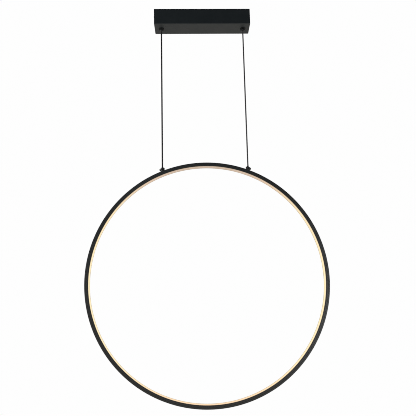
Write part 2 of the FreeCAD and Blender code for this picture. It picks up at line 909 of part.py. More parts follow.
def build():
    os.makedirs("parts", exist_ok=True)
    for piece in (ceiling_bracket, canopy_housing, canopy_side_screws, entry_bush, cord_clamp,
                  cord_clamp_screws, earth_screw, earth_washer, terminal_block, terminal_screws,
                  terminal_block_screws, driver_lid, driver_case, driver_board, driver_components,
                  driver_screws, supply_leads, output_leads, output_plug, gripper_locknuts,
                  gripper_lock_washers, ring_profile, splice_plate, splice_screws, ring_diffuser,
                  led_strip, led_chips, ring_feed_lead, anchor_slide_nuts):
        save(piece.__name__, piece())
    for name, side, cable_r in (("left", -1, left_cable_r), ("right", 1, right_cable_r)):
        x = side * cable_x
        save(name + "_gripper_cup", gripper_cup(x))
        save(name + "_swivel_liner", swivel_liner(x))
        save(name + "_gripper_barrel", gripper_barrel(x))
        save(name + "_gripper_cap", gripper_cap(x))
        save(name + "_release_plunger", release_plunger(x, cable_r))
        save(name + "_clamp_balls", clamp_balls(x, cable_r))
        save(name + "_release_spring", release_spring(x))
        save(name + "_suspension_cable", suspension_cable(x, cable_r))
        save(name + "_cable_ball", cable_ball(x, cable_r))
        save(name + "_cable_collar", cable_collar(x, cable_r))
        save(name + "_ball_seat", ball_seat(x, cable_r))
        save(name + "_anchor_base", anchor_base(side, cable_r))
        save(name + "_anchor_cap", anchor_cap(side, cable_r))
    print("swivel centres at z", round(pivot_z, 3), "cable ends at z", round(end_z, 3),
          "cable x", cable_x, "anchor angle", round(math.degrees(anchor_angle), 3))
    print("free cable", round(nose_end_z - plunger_tip - end_z, 2), "mm, cable top z", cable_top_z,
          "nose tip z", nose_end_z - plunger_tip)
    print("the cables are straight all the way, with no arcs")


build()
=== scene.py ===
import math

import bmesh
import bpy
from mathutils import Matrix, Vector


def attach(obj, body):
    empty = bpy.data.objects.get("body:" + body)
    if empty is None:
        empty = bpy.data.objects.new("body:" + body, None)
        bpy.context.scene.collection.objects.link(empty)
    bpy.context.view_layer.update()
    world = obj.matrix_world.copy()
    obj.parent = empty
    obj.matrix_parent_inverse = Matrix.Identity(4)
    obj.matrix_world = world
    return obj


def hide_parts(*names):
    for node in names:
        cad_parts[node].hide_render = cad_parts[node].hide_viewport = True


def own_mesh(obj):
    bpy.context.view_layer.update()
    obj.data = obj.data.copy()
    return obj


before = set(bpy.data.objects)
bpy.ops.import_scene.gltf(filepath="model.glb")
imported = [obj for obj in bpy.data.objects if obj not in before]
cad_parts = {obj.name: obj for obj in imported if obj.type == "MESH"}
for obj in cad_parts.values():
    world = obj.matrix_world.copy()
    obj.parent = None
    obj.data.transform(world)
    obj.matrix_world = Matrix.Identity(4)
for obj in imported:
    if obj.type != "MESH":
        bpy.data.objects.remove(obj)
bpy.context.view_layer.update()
print("frame loaded with", len(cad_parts), "nodes")

# Ring pendant light: long ceiling box, two taut cables, upright ring that glows inward.
# Metres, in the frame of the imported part: ceiling plane at z 0, X along the box, Y to the back.
lamp = {
    "cableX": 0.146,  # each cable, from the middle of the box
    "swivelZ": -0.0548,  # centre of the gripper's ball
    "cableEndZ": -0.582017,  # centre of the ball in the ring's anchor
    "ringCentreZ": -0.960,
    "ringOuter": 0.400,
    "raise": 0.300,  # travel of the height adjustment
}
sides = {"left": -1, "right": 1}


def addObject(name, data):
    thing = bpy.data.objects.new(name, data)
    bpy.context.scene.collection.objects.link(thing)
    return thing


# Camera, solved from the box corners, the cable ends and the ring's outline.
# Focal length and lens drop are in pixels of a square frame, framePixels wide; the sensor is
# in millimetres.
view = {
    "place": (-0.0450, -1.4820, -1.0354),
    "yawDegrees": 1.89,
    "pitchDegrees": 9.00,
    "rollDegrees": -1.34,
    "focalPixels": 450,
    "framePixels": 416,
    "dropPixels": 25,
    "sensor": 36,
}


def makeCamera():
    yaw, pitch, roll = (
        math.radians(view[key]) for key in ("yawDegrees", "pitchDegrees", "rollDegrees")
    )
    upright = Vector((0, 0, 1))
    level = Vector((math.sin(yaw), math.cos(yaw), 0))
    across = Vector((math.cos(yaw), -math.sin(yaw), 0))
    ahead = math.cos(pitch) * level + math.sin(pitch) * upright
    over = math.cos(pitch) * upright - math.sin(pitch) * level
    right = math.cos(roll) * across + math.sin(roll) * over
    up = math.cos(roll) * over - math.sin(roll) * across
    data = bpy.data.cameras.new("camera")
    data.sensor_width = view["sensor"]
    data.lens = view["focalPixels"] / view["framePixels"] * view["sensor"]
    data.shift_y = view["dropPixels"] / view["framePixels"]
    camera = addObject("camera", data)
    turn = Matrix((right, up, -ahead)).transposed()
    camera.matrix_world = Matrix.Translation(view["place"]) @ turn.to_4x4()
    bpy.context.scene.camera = camera


makeCamera()
print("camera placed")


# Mesh helpers

def finishMesh(name, bm, smoothDegrees=35, mergeDistance=1e-7):
    bmesh.ops.remove_doubles(bm, verts=bm.verts, dist=mergeDistance)
    bmesh.ops.recalc_face_normals(bm, faces=bm.faces)
    mesh = bpy.data.meshes.new(name)
    bm.to_mesh(mesh)
    bm.free()
    mesh.shade_smooth()
    mesh.set_sharp_from_angle(angle=math.radians(smoothDegrees))
    return addObject(name, mesh)


def dress(piece, body, material, replaced=()):
    # Gives a piece its material, its body and the nodes that it stands for
    piece.data.materials.append(material)
    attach(piece, body)
    if replaced:
        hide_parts(*replaced)
    return piece


def roundedOutline(corners, steps, edgeShare=0.48):
    # Closed outline from (a, b, radius) corners, with each corner rounded to its radius.
    # A rounding takes less than half of the edges beside it.
    points = []
    for n, (a, b, radius) in enumerate(corners):
        here = Vector((a, b))
        back = Vector(corners[n - 1][:2]) - here
        on = Vector(corners[(n + 1) % len(corners)][:2]) - here
        if radius <= 0:
            points.append(here)
            continue
        half = back.angle(on) / 2
        reach = min(radius / math.tan(half), edgeShare * back.length, edgeShare * on.length)
        fitted = reach * math.tan(half)
        inward = (back.normalized() + on.normalized()).normalized()
        centre = here + inward * (fitted / math.sin(half))
        start = here + back.normalized() * reach - centre
        end = here + on.normalized() * reach - centre
        for step in range(steps + 1):
            points.append(centre + start.lerp(end, step / steps).normalized() * fitted)
    return points


def joinRows(bm, rows):
    # Quads from each closed row of vertices to the next
    for row, following in zip(rows, rows[1:]):
        for k in range(len(row)):
            j = (k + 1) % len(row)
            bm.faces.new((row[k], row[j], following[j], following[k]))


def makeTurned(name, profile, x, z, segments=96, cornerSteps=4):
    # Turned piece with a bore, from a closed (radius, height, rounding) profile,
    # about the upright line at x and with its heights from z
    bm = bmesh.new()
    angles = [2 * math.pi * n / segments for n in range(segments)]
    columns = [
        [bm.verts.new((r * math.cos(a), r * math.sin(a), height)) for a in angles]
        for r, height in roundedOutline(profile, cornerSteps)
    ]
    joinRows(bm, columns + columns[:1])
    bmesh.ops.translate(bm, verts=bm.verts, vec=(x, 0, z))
    return finishMesh(name, bm)


def tubeAlong(path, ringOf):
    # Capped tube whose ring at each path point comes from ringOf(distance),
    # as (along one side, along the other)
    bm = bmesh.new()
    rows, distance = [], 0.0
    for n, point in enumerate(path):
        before, after = path[max(n - 1, 0)], path[min(n + 1, len(path) - 1)]
        distance += (point - path[n - 1]).length if n else 0
        ahead = (after - before).normalized()
        # One side lies towards X, or towards Y where the path itself runs along X
        one = Vector((1, 0, 0)) if abs(ahead.x) < 0.9 else Vector((0, 1, 0))
        one = (one - ahead * one.dot(ahead)).normalized()
        other = ahead.cross(one)
        rows.append([bm.verts.new(point + one * a + other * b) for a, b in ringOf(distance)])
    joinRows(bm, rows)
    bm.faces.new(rows[0])
    bm.faces.new(rows[-1])
    return bm


def splineLine(points, resolution):
    # The line of a NURBS spline of order 3 through its control points, without a bevel
    curve = bpy.data.curves.new("line", "CURVE")
    curve.dimensions = "3D"
    spline = curve.splines.new("NURBS")
    spline.points.add(len(points) - 1)
    for target, place in zip(spline.points, points):
        target.co = (*place, 1)
    spline.order_u = 3
    spline.use_endpoint_u = True
    spline.resolution_u = resolution
    holder = bpy.data.objects.new("line", curve)
    mesh = bpy.data.meshes.new_from_object(holder)
    line = [v.co.copy() for v in mesh.vertices]
    bpy.data.meshes.remove(mesh)
    bpy.data.objects.remove(holder)
    bpy.data.curves.remove(curve)
    return line


# Node helpers

def setInputs(tree, node, inputs):
    # Links each input to a socket, or sets it to a value
    for key, source in inputs.items():
        if isinstance(source, bpy.types.NodeSocket):
            tree.links.new(source, node.inputs[key])
        else:
            node.inputs[key].default_value = source
    return node


def addNode(tree, kind, inputs=None, **settings):
    node = tree.nodes.new("ShaderNode" + kind)
    for key, value in settings.items():
        setattr(node, key, value)
    return setInputs(tree, node, inputs or {})


def addRange(tree, source, zeroAt, oneAt):
    ranged = addNode(tree, "MapRange", {"Value": source, "From Min": zeroAt, "From Max": oneAt})
    return ranged.outputs["Result"]


def addProduct(tree, first, second):
    return addNode(tree, "Math", {0: first, 1: second}, operation="MULTIPLY").outputs[0]


def addMix(tree, factor, first, second, kind="RGBA", blend="MIX"):
    mix = addNode(
        tree, "Mix", {"Factor": factor, "A": first, "B": second}, data_type=kind, blend_type=blend
    )
    return mix.outputs["Result"]


def addRamp(tree, factor, stops):
    # Colour ramp through (place, colour) stops, the first at 0 and the last at 1
    ramp = addNode(tree, "ValToRGB", {"Fac": factor})
    elements = ramp.color_ramp.elements
    elements[0].color, elements[1].color = (*stops[0][1], 1), (*stops[-1][1], 1)
    for share, colour in stops[1:-1]:
        elements.new(share).color = (*colour, 1)
    return ramp.outputs["Color"]


def addNoise(tree, size, effect):
    # Noise in the object's space, with features of the size that the socket gives
    place = addNode(tree, "TexCoord")
    scale = addNode(tree, "Math", {0: 1.0, 1: size}, operation="DIVIDE")
    noise = addNode(tree, "TexNoise", {
        "Vector": place.outputs["Object"], "Scale": scale.outputs[0],
        "Detail": effect["detail"], "Roughness": effect["roughness"],
    })
    return noise.outputs["Fac"]


def newGroup(name, inputs, outputs):
    # Empty shader group with named sockets, as (name, kind, default)
    tree = bpy.data.node_groups.new(name, "ShaderNodeTree")
    for label, kind, default in inputs:
        socket = tree.interface.new_socket(
            name=label, in_out="INPUT", socket_type="NodeSocket" + kind
        )
        socket.default_value = default
    for label, kind in outputs:
        tree.interface.new_socket(name=label, in_out="OUTPUT", socket_type="NodeSocket" + kind)
    return tree, tree.nodes.new("NodeGroupInput"), tree.nodes.new("NodeGroupOutput")


# Noise of each shared effect, and the limits of its masks. An edge counts as rubbed
# where its rounded and its plain normal differ, by the cosine between them.
effects = {
    "bevelSamples": 4,
    "grain": {"detail": 3.0, "roughness": 0.55},
    "tone": {"detail": 5.0, "roughness": 0.6, "spread": (0.3, 0.7)},
    "wear": {"detail": 4.0, "roughness": 0.65, "broken": (0.42, 0.62), "edge": (0.99, 0.88)},
}


def makeGrainGroup():
    # Fine skin of a coat, casting or moulding, over edges rounded a little
    tree, given, made = newGroup(
        "surfaceGrain",
        [("Grain Size", "Float", 0.001), ("Grain Height", "Float", 0.00002),
         ("Edge Radius", "Float", 0.0003)],
        [("Normal", "Vector")],
    )
    edge = addNode(
        tree, "Bevel", {"Radius": given.outputs["Edge Radius"]}, samples=effects["bevelSamples"]
    )
    bump = addNode(tree, "Bump", {
        "Distance": given.outputs["Grain Height"],
        "Height": addNoise(tree, given.outputs["Grain Size"], effects["grain"]),
        "Normal": edge.outputs["Normal"],
    })
    setInputs(tree, made, {"Normal": bump.outputs["Normal"]})
    return tree


def makeToneGroup():
    # Slow drift between two tones, and of the roughness with it
    tree, given, made = newGroup(
        "toneDrift",
        [("Colour", "Color", (0.5, 0.5, 0.5, 1)), ("Second Colour", "Color", (0.6, 0.6, 0.6, 1)),
         ("Patch Size", "Float", 0.04), ("Amount", "Float", 0.5),
         ("Low Roughness", "Float", 0.4), ("High Roughness", "Float", 0.6)],
        [("Colour", "Color"), ("Roughness", "Float")],
    )
    noise = addNoise(tree, given.outputs["Patch Size"], effects["tone"])
    drift = addRange(tree, noise, *effects["tone"]["spread"])
    share = addProduct(tree, drift, given.outputs["Amount"])
    low, high = given.outputs["Low Roughness"], given.outputs["High Roughness"]
    setInputs(tree, made, {
        "Colour": addMix(tree, share, given.outputs["Colour"], given.outputs["Second Colour"]),
        "Roughness": addMix(tree, drift, low, high, kind="FLOAT"),
    })
    return tree


def makeWearGroup():
    # Mask that is 1 on rubbed edges and 0 elsewhere
    tree, given, made = newGroup(
        "edgeWear",
        [("Edge Radius", "Float", 0.0005), ("Breakup Size", "Float", 0.004),
         ("Amount", "Float", 0.5)],
        [("Mask", "Float")],
    )
    edge = addNode(
        tree, "Bevel", {"Radius": given.outputs["Edge Radius"]}, samples=effects["bevelSamples"]
    )
    plain = addNode(tree, "NewGeometry")
    likeness = addNode(
        tree, "VectorMath", {0: edge.outputs["Normal"], 1: plain.outputs["Normal"]},
        operation="DOT_PRODUCT",
    )
    near = addRange(tree, likeness.outputs["Value"], *effects["wear"]["edge"])
    noise = addNoise(tree, given.outputs["Breakup Size"], effects["wear"])
    broken = addRange(tree, noise, *effects["wear"]["broken"])
    both = addProduct(tree, near, broken)
    setInputs(tree, made, {"Mask": addProduct(tree, both, given.outputs["Amount"])})
    return tree


grainGroup, toneGroup, wearGroup = makeGrainGroup(), makeToneGroup(), makeWearGroup()

# Finishes: two tones and the drift between them, roughness range, skin and rubbed edges;
# lengths in metres
finishes = {
    "blackPowderCoat": {
        "tones": ((0.0058, 0.0090, 0.0114), (0.0074, 0.0110, 0.0136)), "patch": 0.05,
        "amount": 0.7, "roughness": (0.52, 0.62), "metallic": 0.0, "specular": 0.32,
        "grainSize": 0.0009, "grainHeight": 0.00002, "edgeRadius": 0.0004,
        "wear": 0.04, "wearTone": (0.05, 0.05, 0.052),
    },
    # The ring's coat: the box's black coat with lighter tones, which is painted light for the
    # brighter look of the ring's face; it also carries the painted glow on the lips
    "ringCoatWithPaintedLight": {
        "tones": ((0.0125, 0.0142, 0.0152), (0.0150, 0.0168, 0.0178)), "patch": 0.03,
        "amount": 0.7, "roughness": (0.44, 0.54), "metallic": 0.0, "specular": 0.40,
        "grainSize": 0.0009, "grainHeight": 0.00002, "edgeRadius": 0.0004,
        "wear": 0.05, "wearTone": (0.05, 0.05, 0.052),
    },
    "satinBlackMetal": {
        "tones": ((0.0105, 0.0120, 0.0132), (0.0145, 0.0160, 0.0172)), "patch": 0.01,
        "amount": 0.6, "roughness": (0.34, 0.44), "metallic": 0.0, "specular": 0.6,
        "grainSize": 0.0004, "grainHeight": 0.000008, "edgeRadius": 0.00025,
        "wear": 0.25, "wearTone": (0.06, 0.06, 0.063),
    },
    "cupBlack": {
        "tones": ((0.0075, 0.0082, 0.0088), (0.0100, 0.0106, 0.0112)), "patch": 0.01,
        "amount": 0.6, "roughness": (0.50, 0.62), "metallic": 0.0, "specular": 0.06,
        "grainSize": 0.0004, "grainHeight": 0.000008, "edgeRadius": 0.00025,
        "wear": 0.1, "wearTone": (0.04, 0.04, 0.043),
    },
    "noseBlack": {
        "tones": ((0.0060, 0.0072, 0.0086), (0.0086, 0.0100, 0.0114)), "patch": 0.01,
        "amount": 0.6, "roughness": (0.26, 0.34), "metallic": 0.0, "specular": 0.35,
        "grainSize": 0.0004, "grainHeight": 0.000006, "edgeRadius": 0.00025,
        "wear": 0.1, "wearTone": (0.03, 0.034, 0.038),
    },
    "zincPlate": {
        "tones": ((0.50, 0.51, 0.52), (0.62, 0.62, 0.58)), "patch": 0.012,
        "amount": 0.8, "roughness": (0.26, 0.42), "metallic": 1.0, "specular": 0.5,
        "grainSize": 0.0006, "grainHeight": 0.000015, "edgeRadius": 0.0002,
        "wear": 0.2, "wearTone": (0.75, 0.75, 0.74),
    },
    "polishedSteel": {
        "tones": ((0.62, 0.63, 0.65), (0.70, 0.70, 0.70)), "patch": 0.004,
        "amount": 0.5, "roughness": (0.10, 0.18), "metallic": 1.0, "specular": 0.5,
        "grainSize": 0.0003, "grainHeight": 0.000003, "edgeRadius": 0.0001,
        "wear": 0.1, "wearTone": (0.8, 0.8, 0.8),
    },
    "springSteel": {
        "tones": ((0.32, 0.31, 0.29), (0.46, 0.45, 0.43)), "patch": 0.003,
        "amount": 0.8, "roughness": (0.24, 0.38), "metallic": 1.0, "specular": 0.5,
        "grainSize": 0.0002, "grainHeight": 0.000004, "edgeRadius": 0.0001,
        "wear": 0.0, "wearTone": (0.5, 0.5, 0.5),
    },
    "blackCableSheath": {
        "tones": ((0.009, 0.0094, 0.0100), (0.013, 0.0132, 0.0138)), "patch": 0.03,
        "amount": 0.6, "roughness": (0.48, 0.60), "metallic": 0.0, "specular": 0.4,
        "grainSize": 0.0004, "grainHeight": 0.000015, "edgeRadius": 0.0001,
        "wear": 0.0, "wearTone": (0.03, 0.03, 0.03),
    },
    "greyWireSheath": {
        "tones": ((0.032, 0.033, 0.034), (0.046, 0.046, 0.047)), "patch": 0.02,
        "amount": 0.7, "roughness": (0.36, 0.48), "metallic": 0.0, "specular": 0.5,
        "grainSize": 0.0004, "grainHeight": 0.000015, "edgeRadius": 0.0001,
        "wear": 0.0, "wearTone": (0.08, 0.08, 0.08),
    },
    "whiteMoulding": {
        "tones": ((0.66, 0.65, 0.61), (0.72, 0.71, 0.68)), "patch": 0.03,
        "amount": 0.6, "roughness": (0.40, 0.52), "metallic": 0.0, "specular": 0.5,
        "grainSize": 0.0005, "grainHeight": 0.00002, "edgeRadius": 0.0003,
        "wear": 0.1, "wearTone": (0.80, 0.79, 0.77),
    },
    "naturalNylon": {
        "tones": ((0.60, 0.58, 0.50), (0.68, 0.66, 0.60)), "patch": 0.006,
        "amount": 0.6, "roughness": (0.38, 0.50), "metallic": 0.0, "specular": 0.5,
        "grainSize": 0.0003, "grainHeight": 0.00001, "edgeRadius": 0.0002,
        "wear": 0.0, "wearTone": (0.7, 0.7, 0.7),
    },
    "softBlackRubber": {
        "tones": ((0.016, 0.016, 0.016), (0.024, 0.024, 0.024)), "patch": 0.005,
        "amount": 0.7, "roughness": (0.70, 0.82), "metallic": 0.0, "specular": 0.4,
        "grainSize": 0.0003, "grainHeight": 0.00003, "edgeRadius": 0.0004,
        "wear": 0.2, "wearTone": (0.06, 0.06, 0.06),
    },
    "greenSolderMask": {
        "tones": ((0.008, 0.070, 0.022), (0.012, 0.095, 0.032)), "patch": 0.008,
        "amount": 0.9, "roughness": (0.22, 0.34), "metallic": 0.0, "specular": 0.5,
        "grainSize": 0.0012, "grainHeight": 0.00004, "edgeRadius": 0.0001,
        "wear": 0.5, "wearTone": (0.45, 0.38, 0.20),
    },
    "darkComponent": {
        "tones": ((0.012, 0.012, 0.014), (0.022, 0.022, 0.026)), "patch": 0.006,
        "amount": 0.7, "roughness": (0.30, 0.46), "metallic": 0.0, "specular": 0.5,
        "grainSize": 0.0005, "grainHeight": 0.00003, "edgeRadius": 0.0003,
        "wear": 0.2, "wearTone": (0.09, 0.09, 0.09),
    },
    "redLeadSheath": {
        "tones": ((0.36, 0.020, 0.016), (0.44, 0.032, 0.024)), "patch": 0.01,
        "amount": 0.7, "roughness": (0.36, 0.46), "metallic": 0.0, "specular": 0.5,
        "grainSize": 0.0006, "grainHeight": 0.00002, "edgeRadius": 0.0001,
        "wear": 0.0, "wearTone": (0.5, 0.1, 0.1),
    },
    "whiteStrip": {
        "tones": ((0.74, 0.74, 0.72), (0.82, 0.82, 0.80)), "patch": 0.01,
        "amount": 0.6, "roughness": (0.30, 0.40), "metallic": 0.0, "specular": 0.5,
        "grainSize": 0.001, "grainHeight": 0.00002, "edgeRadius": 0.0001,
        "wear": 0.2, "wearTone": (0.72, 0.52, 0.30),
    },
}


def startMaterial(name):
    material = bpy.data.materials.new(name)
    material.use_nodes = True
    tree = material.node_tree
    return material, tree, tree.nodes["Principled BSDF"]


def placeGroup(tree, group, inputs):
    node = tree.nodes.new("ShaderNodeGroup")
    node.node_tree = group
    return setInputs(tree, node, inputs)


def placeTone(tree, shader, look):
    # Drifting roughness for the shader; gives back the drifting colour
    first, second = look["tones"]
    low, high = look["roughness"]
    tone = placeGroup(tree, toneGroup, {
        "Colour": (*first, 1), "Second Colour": (*second, 1), "Patch Size": look["patch"],
        "Amount": look["amount"], "Low Roughness": low, "High Roughness": high,
    })
    setInputs(tree, shader, {"Roughness": tone.outputs["Roughness"]})
    return tone.outputs["Colour"]


def placeGrain(tree, shader, look):
    grain = placeGroup(tree, grainGroup, {
        "Grain Size": look["grainSize"], "Grain Height": look["grainHeight"],
        "Edge Radius": look["edgeRadius"],
    })
    setInputs(tree, shader, {"Normal": grain.outputs["Normal"]})


def makeFinish(name):
    look = finishes[name]
    material, tree, shader = startMaterial(name)
    colour = placeTone(tree, shader, look)
    placeGrain(tree, shader, look)
    # Wear reaches twice as far from an edge as its rounding
    wear = placeGroup(tree, wearGroup, {
        "Edge Radius": 2 * look["edgeRadius"], "Amount": look["wear"],
    })
    setInputs(tree, shader, {
        "Base Color": addMix(tree, wear.outputs["Mask"], colour, (*look["wearTone"], 1)),
        "Metallic": look["metallic"],
        "Specular IOR Level": look["specular"],
    })
    return material


materials = {name: makeFinish(name) for name in finishes}

# Opal diffuser, lit from behind: warm, brightest at the sides and darkest at the top.
# Its glow is given by the height over the ring, from 0 at the foot to 1 at the top, and its fall
# towards the top is painted shade.
# It is dimmed at the edges by painted shade, from edgeStart to edgeEnd on each side of the ring's
# middle plane, more at the front edge.
opal = {
    "height": [
        (0.0, (0.74, 0.475, 0.245)), (0.16, (0.74, 0.59, 0.295)), (0.5, (0.70, 0.575, 0.285)),
        (0.78, (0.59, 0.445, 0.208)), (0.93, (0.305, 0.175, 0.112)), (1.0, (0.158, 0.088, 0.060)),
    ],
    "frontEdgeShade": (0.80, 0.69, 0.60), "backEdgeShade": (0.98, 0.94, 0.80),
    "edgeStart": 0.005, "edgeEnd": 0.0108, "strength": 1.0,
    "tones": ((0.30, 0.28, 0.24), (0.33, 0.31, 0.27)), "patch": 0.02,
    "amount": 0.5, "roughness": (0.42, 0.50),
    "grainSize": 0.0006, "grainHeight": 0.00001, "edgeRadius": 0.0002,
}


def makeOpal():
    material, tree, shader = startMaterial("warmOpal")
    place = addNode(tree, "TexCoord")
    axes = addNode(tree, "SeparateXYZ", {0: place.outputs["Object"]})
    foot, top = (lamp["ringCentreZ"] + turn * lamp["ringOuter"] for turn in (-1, 1))
    # Painted shade: the glow is darkened towards the top of the ring
    glow = addRamp(tree, addRange(tree, axes.outputs["Z"], foot, top), opal["height"])
    # Painted shade at the cover's edges, deeper at the front edge
    for key, turn in (("frontEdgeShade", -1), ("backEdgeShade", 1)):
        edge = addRange(tree, axes.outputs["Y"], turn * opal["edgeStart"], turn * opal["edgeEnd"])
        glow = addMix(tree, edge, glow, (*opal[key], 1), blend="MULTIPLY")
    setInputs(tree, shader, {
        "Base Color": placeTone(tree, shader, opal),
        "Emission Color": glow,
        "Emission Strength": opal["strength"],
    })
    placeGrain(tree, shader, opal)
    return material


# Phosphor of the chips, glowing behind the diffuser
phosphor = {
    "tones": ((0.85, 0.56, 0.10), (0.92, 0.66, 0.18)), "patch": 0.002,
    "amount": 0.5, "roughness": (0.25, 0.4),
    "glow": (1.0, 0.80, 0.45), "strength": 4.0,
}


def makePhosphor():
    material, tree, shader = startMaterial("warmPhosphor")
    setInputs(tree, shader, {
        "Base Color": placeTone(tree, shader, phosphor),
        "Emission Color": (*phosphor["glow"], 1),
        "Emission Strength": phosphor["strength"],
    })
    return material


# Painted light: a warm glow painted on the ring's lips beside the cover, standing in for the light
# that the cover spills on them, by the distance from the ring's axis and from its middle plane
paintedLipGlow = {
    "tone": (0.30, 0.20, 0.10), "strength": 1.0,
    "noRadius": 0.3884, "fullRadius": 0.3876, "noY": 0.0129, "fullY": 0.0122,
}


def addPaintedLipGlow(material):
    tree = material.node_tree
    place = addNode(tree, "TexCoord")
    centred = addNode(
        tree, "VectorMath", {0: place.outputs["Object"], 1: (0, 0, lamp["ringCentreZ"])},
        operation="SUBTRACT",
    )
    axes = addNode(tree, "SeparateXYZ", {0: centred.outputs["Vector"]})
    flat = addNode(tree, "CombineXYZ", {"X": axes.outputs["X"], "Z": axes.outputs["Z"]})
    radius = addNode(tree, "VectorMath", {0: flat.outputs["Vector"]}, operation="LENGTH")
    across = addNode(tree, "Math", {0: axes.outputs["Y"]}, operation="ABSOLUTE")
    inward = addRange(tree, radius.outputs["Value"], paintedLipGlow["noRadius"], paintedLipGlow["fullRadius"])
    between = addRange(tree, across.outputs[0], paintedLipGlow["noY"], paintedLipGlow["fullY"])
    share = addProduct(tree, inward, between)
    # Painted light: an emission on the ring's black coat, not a lamp
    setInputs(tree, tree.nodes["Principled BSDF"], {
        "Emission Color": addMix(tree, share, (0, 0, 0, 1), (*paintedLipGlow["tone"], 1)),
        "Emission Strength": paintedLipGlow["strength"],
    })


addPaintedLipGlow(materials["ringCoatWithPaintedLight"])
materials["warmOpal"] = makeOpal()
materials["warmPhosphor"] = makePhosphor()
print("materials made:", len(materials))


# Cables: straight from the gripper's nose to the ball in the ring's anchor. The right one
# is a stranded wire, whose lobes show through its sheath.
cable = {
    "radius": {"left": 0.0025, "right": 0.0023},
    "finish": {"left": "blackCableSheath", "right": "greyWireSheath"},
    "slot": {"left": "supply_cable", "right": "steel_cable"},
    "joint": {"left": "height_adjust", "right": "right_height"},
    "exitZ": -0.0695,
    "startZ": -0.0415,
    "topZ": -0.0338,
    "sides": 48,
    "resolution": 260,
    "lobes": 6,
    "lobeDepth": {"left": 0.0, "right": 0.07},
    "lobeSharpness": 4,
    "layLength": 0.016,
}
# Tapered collar on the cable, over its ball: heights from the cable's end
collar = {
    "low": 0.0094, "height": 0.0024, "lowRadius": 0.0035, "topRadius": 0.00295,
    "gap": 0.00003, "lowRounding": 0.0004, "topRounding": 0.0005,
}


def cableRing(side, distance):
    radius, depth = cable["radius"][side], cable["lobeDepth"][side]
    twist = 2 * math.pi * distance / cable["layLength"]
    places = []
    for n in range(cable["sides"]):
        angle = 2 * math.pi * n / cable["sides"]
        valley = abs(math.sin(cable["lobes"] * (angle - twist) / 2)) ** cable["lobeSharpness"]
        r = radius * (1 - depth * valley)
        places.append((r * math.cos(angle), r * math.sin(angle)))
    return places


def makeCollar(side, x):
    bore = cable["radius"][side] + collar["gap"]
    low, high = collar["low"], collar["low"] + collar["height"]
    profile = [
        (bore, low, 0), (collar["lowRadius"], low, collar["lowRounding"]),
        (collar["topRadius"], high, collar["topRounding"]), (bore, high, 0),
    ]
    piece = makeTurned(side + "_collar", profile, x, lamp["cableEndZ"])
    return dress(piece, side + "_cable_end", materials["satinBlackMetal"],
                 [side + "_cable_collar"])


def makeCable(side):
    x = sides[side] * lamp["cableX"]
    hanger, finish, slot = side + "_hanger", materials[cable["finish"][side]], cable["slot"][side]
    middleZ = (cable["startZ"] + lamp["cableEndZ"]) / 2
    route = [(x, 0, z) for z in (cable["startZ"], middleZ, lamp["cableEndZ"])]
    line = splineLine(route, cable["resolution"])
    piece = finishMesh(side + "_cable", tubeAlong(line, lambda distance: cableRing(side, distance)))
    dress(piece, hanger, finish, [side + "_suspension_cable"])
    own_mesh(piece)
    # The part of the cable that is held in the gripper doesn't shorten
    held = [Vector((x, 0, cable["topZ"])), Vector((x, 0, cable["startZ"]))]
    tail = finishMesh(side + "_cable_tail",
                      tubeAlong(held, lambda distance: cableRing(side, distance)))
    dress(tail, hanger, finish)
    makeCollar(side, x)


for side in sides:
    makeCable(side)
print("cables made")


# Ring: extruded section bent round, open by a hair at the bottom, with a groove in both faces.
# Radii are from the ring's axis; groove and bead are given as low radius, high radius, depth.
ring = {
    "segments": 480,
    "seam": 0.0001,
    "inner": 0.3870,
    "halfWidth": 0.013,
    "flange": 0.0022,
    "lightFloor": 0.3930,
    "chamber": (0.3942, 0.3984),
    "groove": (0.3935, 0.3941, 0.0005),
    "bead": (0.3875, 0.3885, 0.0006),
    "slope": 0.0005,
    "bevel": 0.0008,
    "cornerSteps": 3,
    "smoothDegrees": 40,
    "rounding": {
        "fine": 0.0001, "groove": 0.00012, "lip": 0.00015, "floor": 0.0003,
        "face": 0.0004, "outer": 0.0006,
    },
}
diffuser = {
    "front": 0.3872, "back": 0.3886, "crown": 0.00012, "crownSteps": 12,
    "gap": 0.00002, "rounding": 0.0001,
}


def sweptRound(name, outlines):
    # Sweeps closed (radius, y, rounding) outlines round the ring's axis, from one side of the
    # seam at the bottom to the other, with capped ends. Angles run from the top to +X.
    bm = bmesh.new()
    ends = []
    halfSeam = ring["seam"] / 2 / lamp["ringOuter"]
    start, end = halfSeam - math.pi, math.pi - halfSeam
    for outline in outlines:
        loop = roundedOutline(outline, ring["cornerSteps"])
        rows = []
        for n in range(ring["segments"] + 1):
            angle = start + (end - start) * n / ring["segments"]
            rows.append([
                bm.verts.new((r * math.sin(angle), y, lamp["ringCentreZ"] + r * math.cos(angle)))
                for r, y in loop
            ])
        joinRows(bm, rows)
        ends.append((rows[0], rows[-1]))
    for capRows in zip(*ends):
        edges = []
        for row in capRows:
            edges += [bm.edges.get((row[k], row[(k + 1) % len(row)])) for k in range(len(row))]
        bmesh.ops.triangle_fill(bm, use_beauty=True, edges=edges)
    return finishMesh(name, bm, ring["smoothDegrees"])


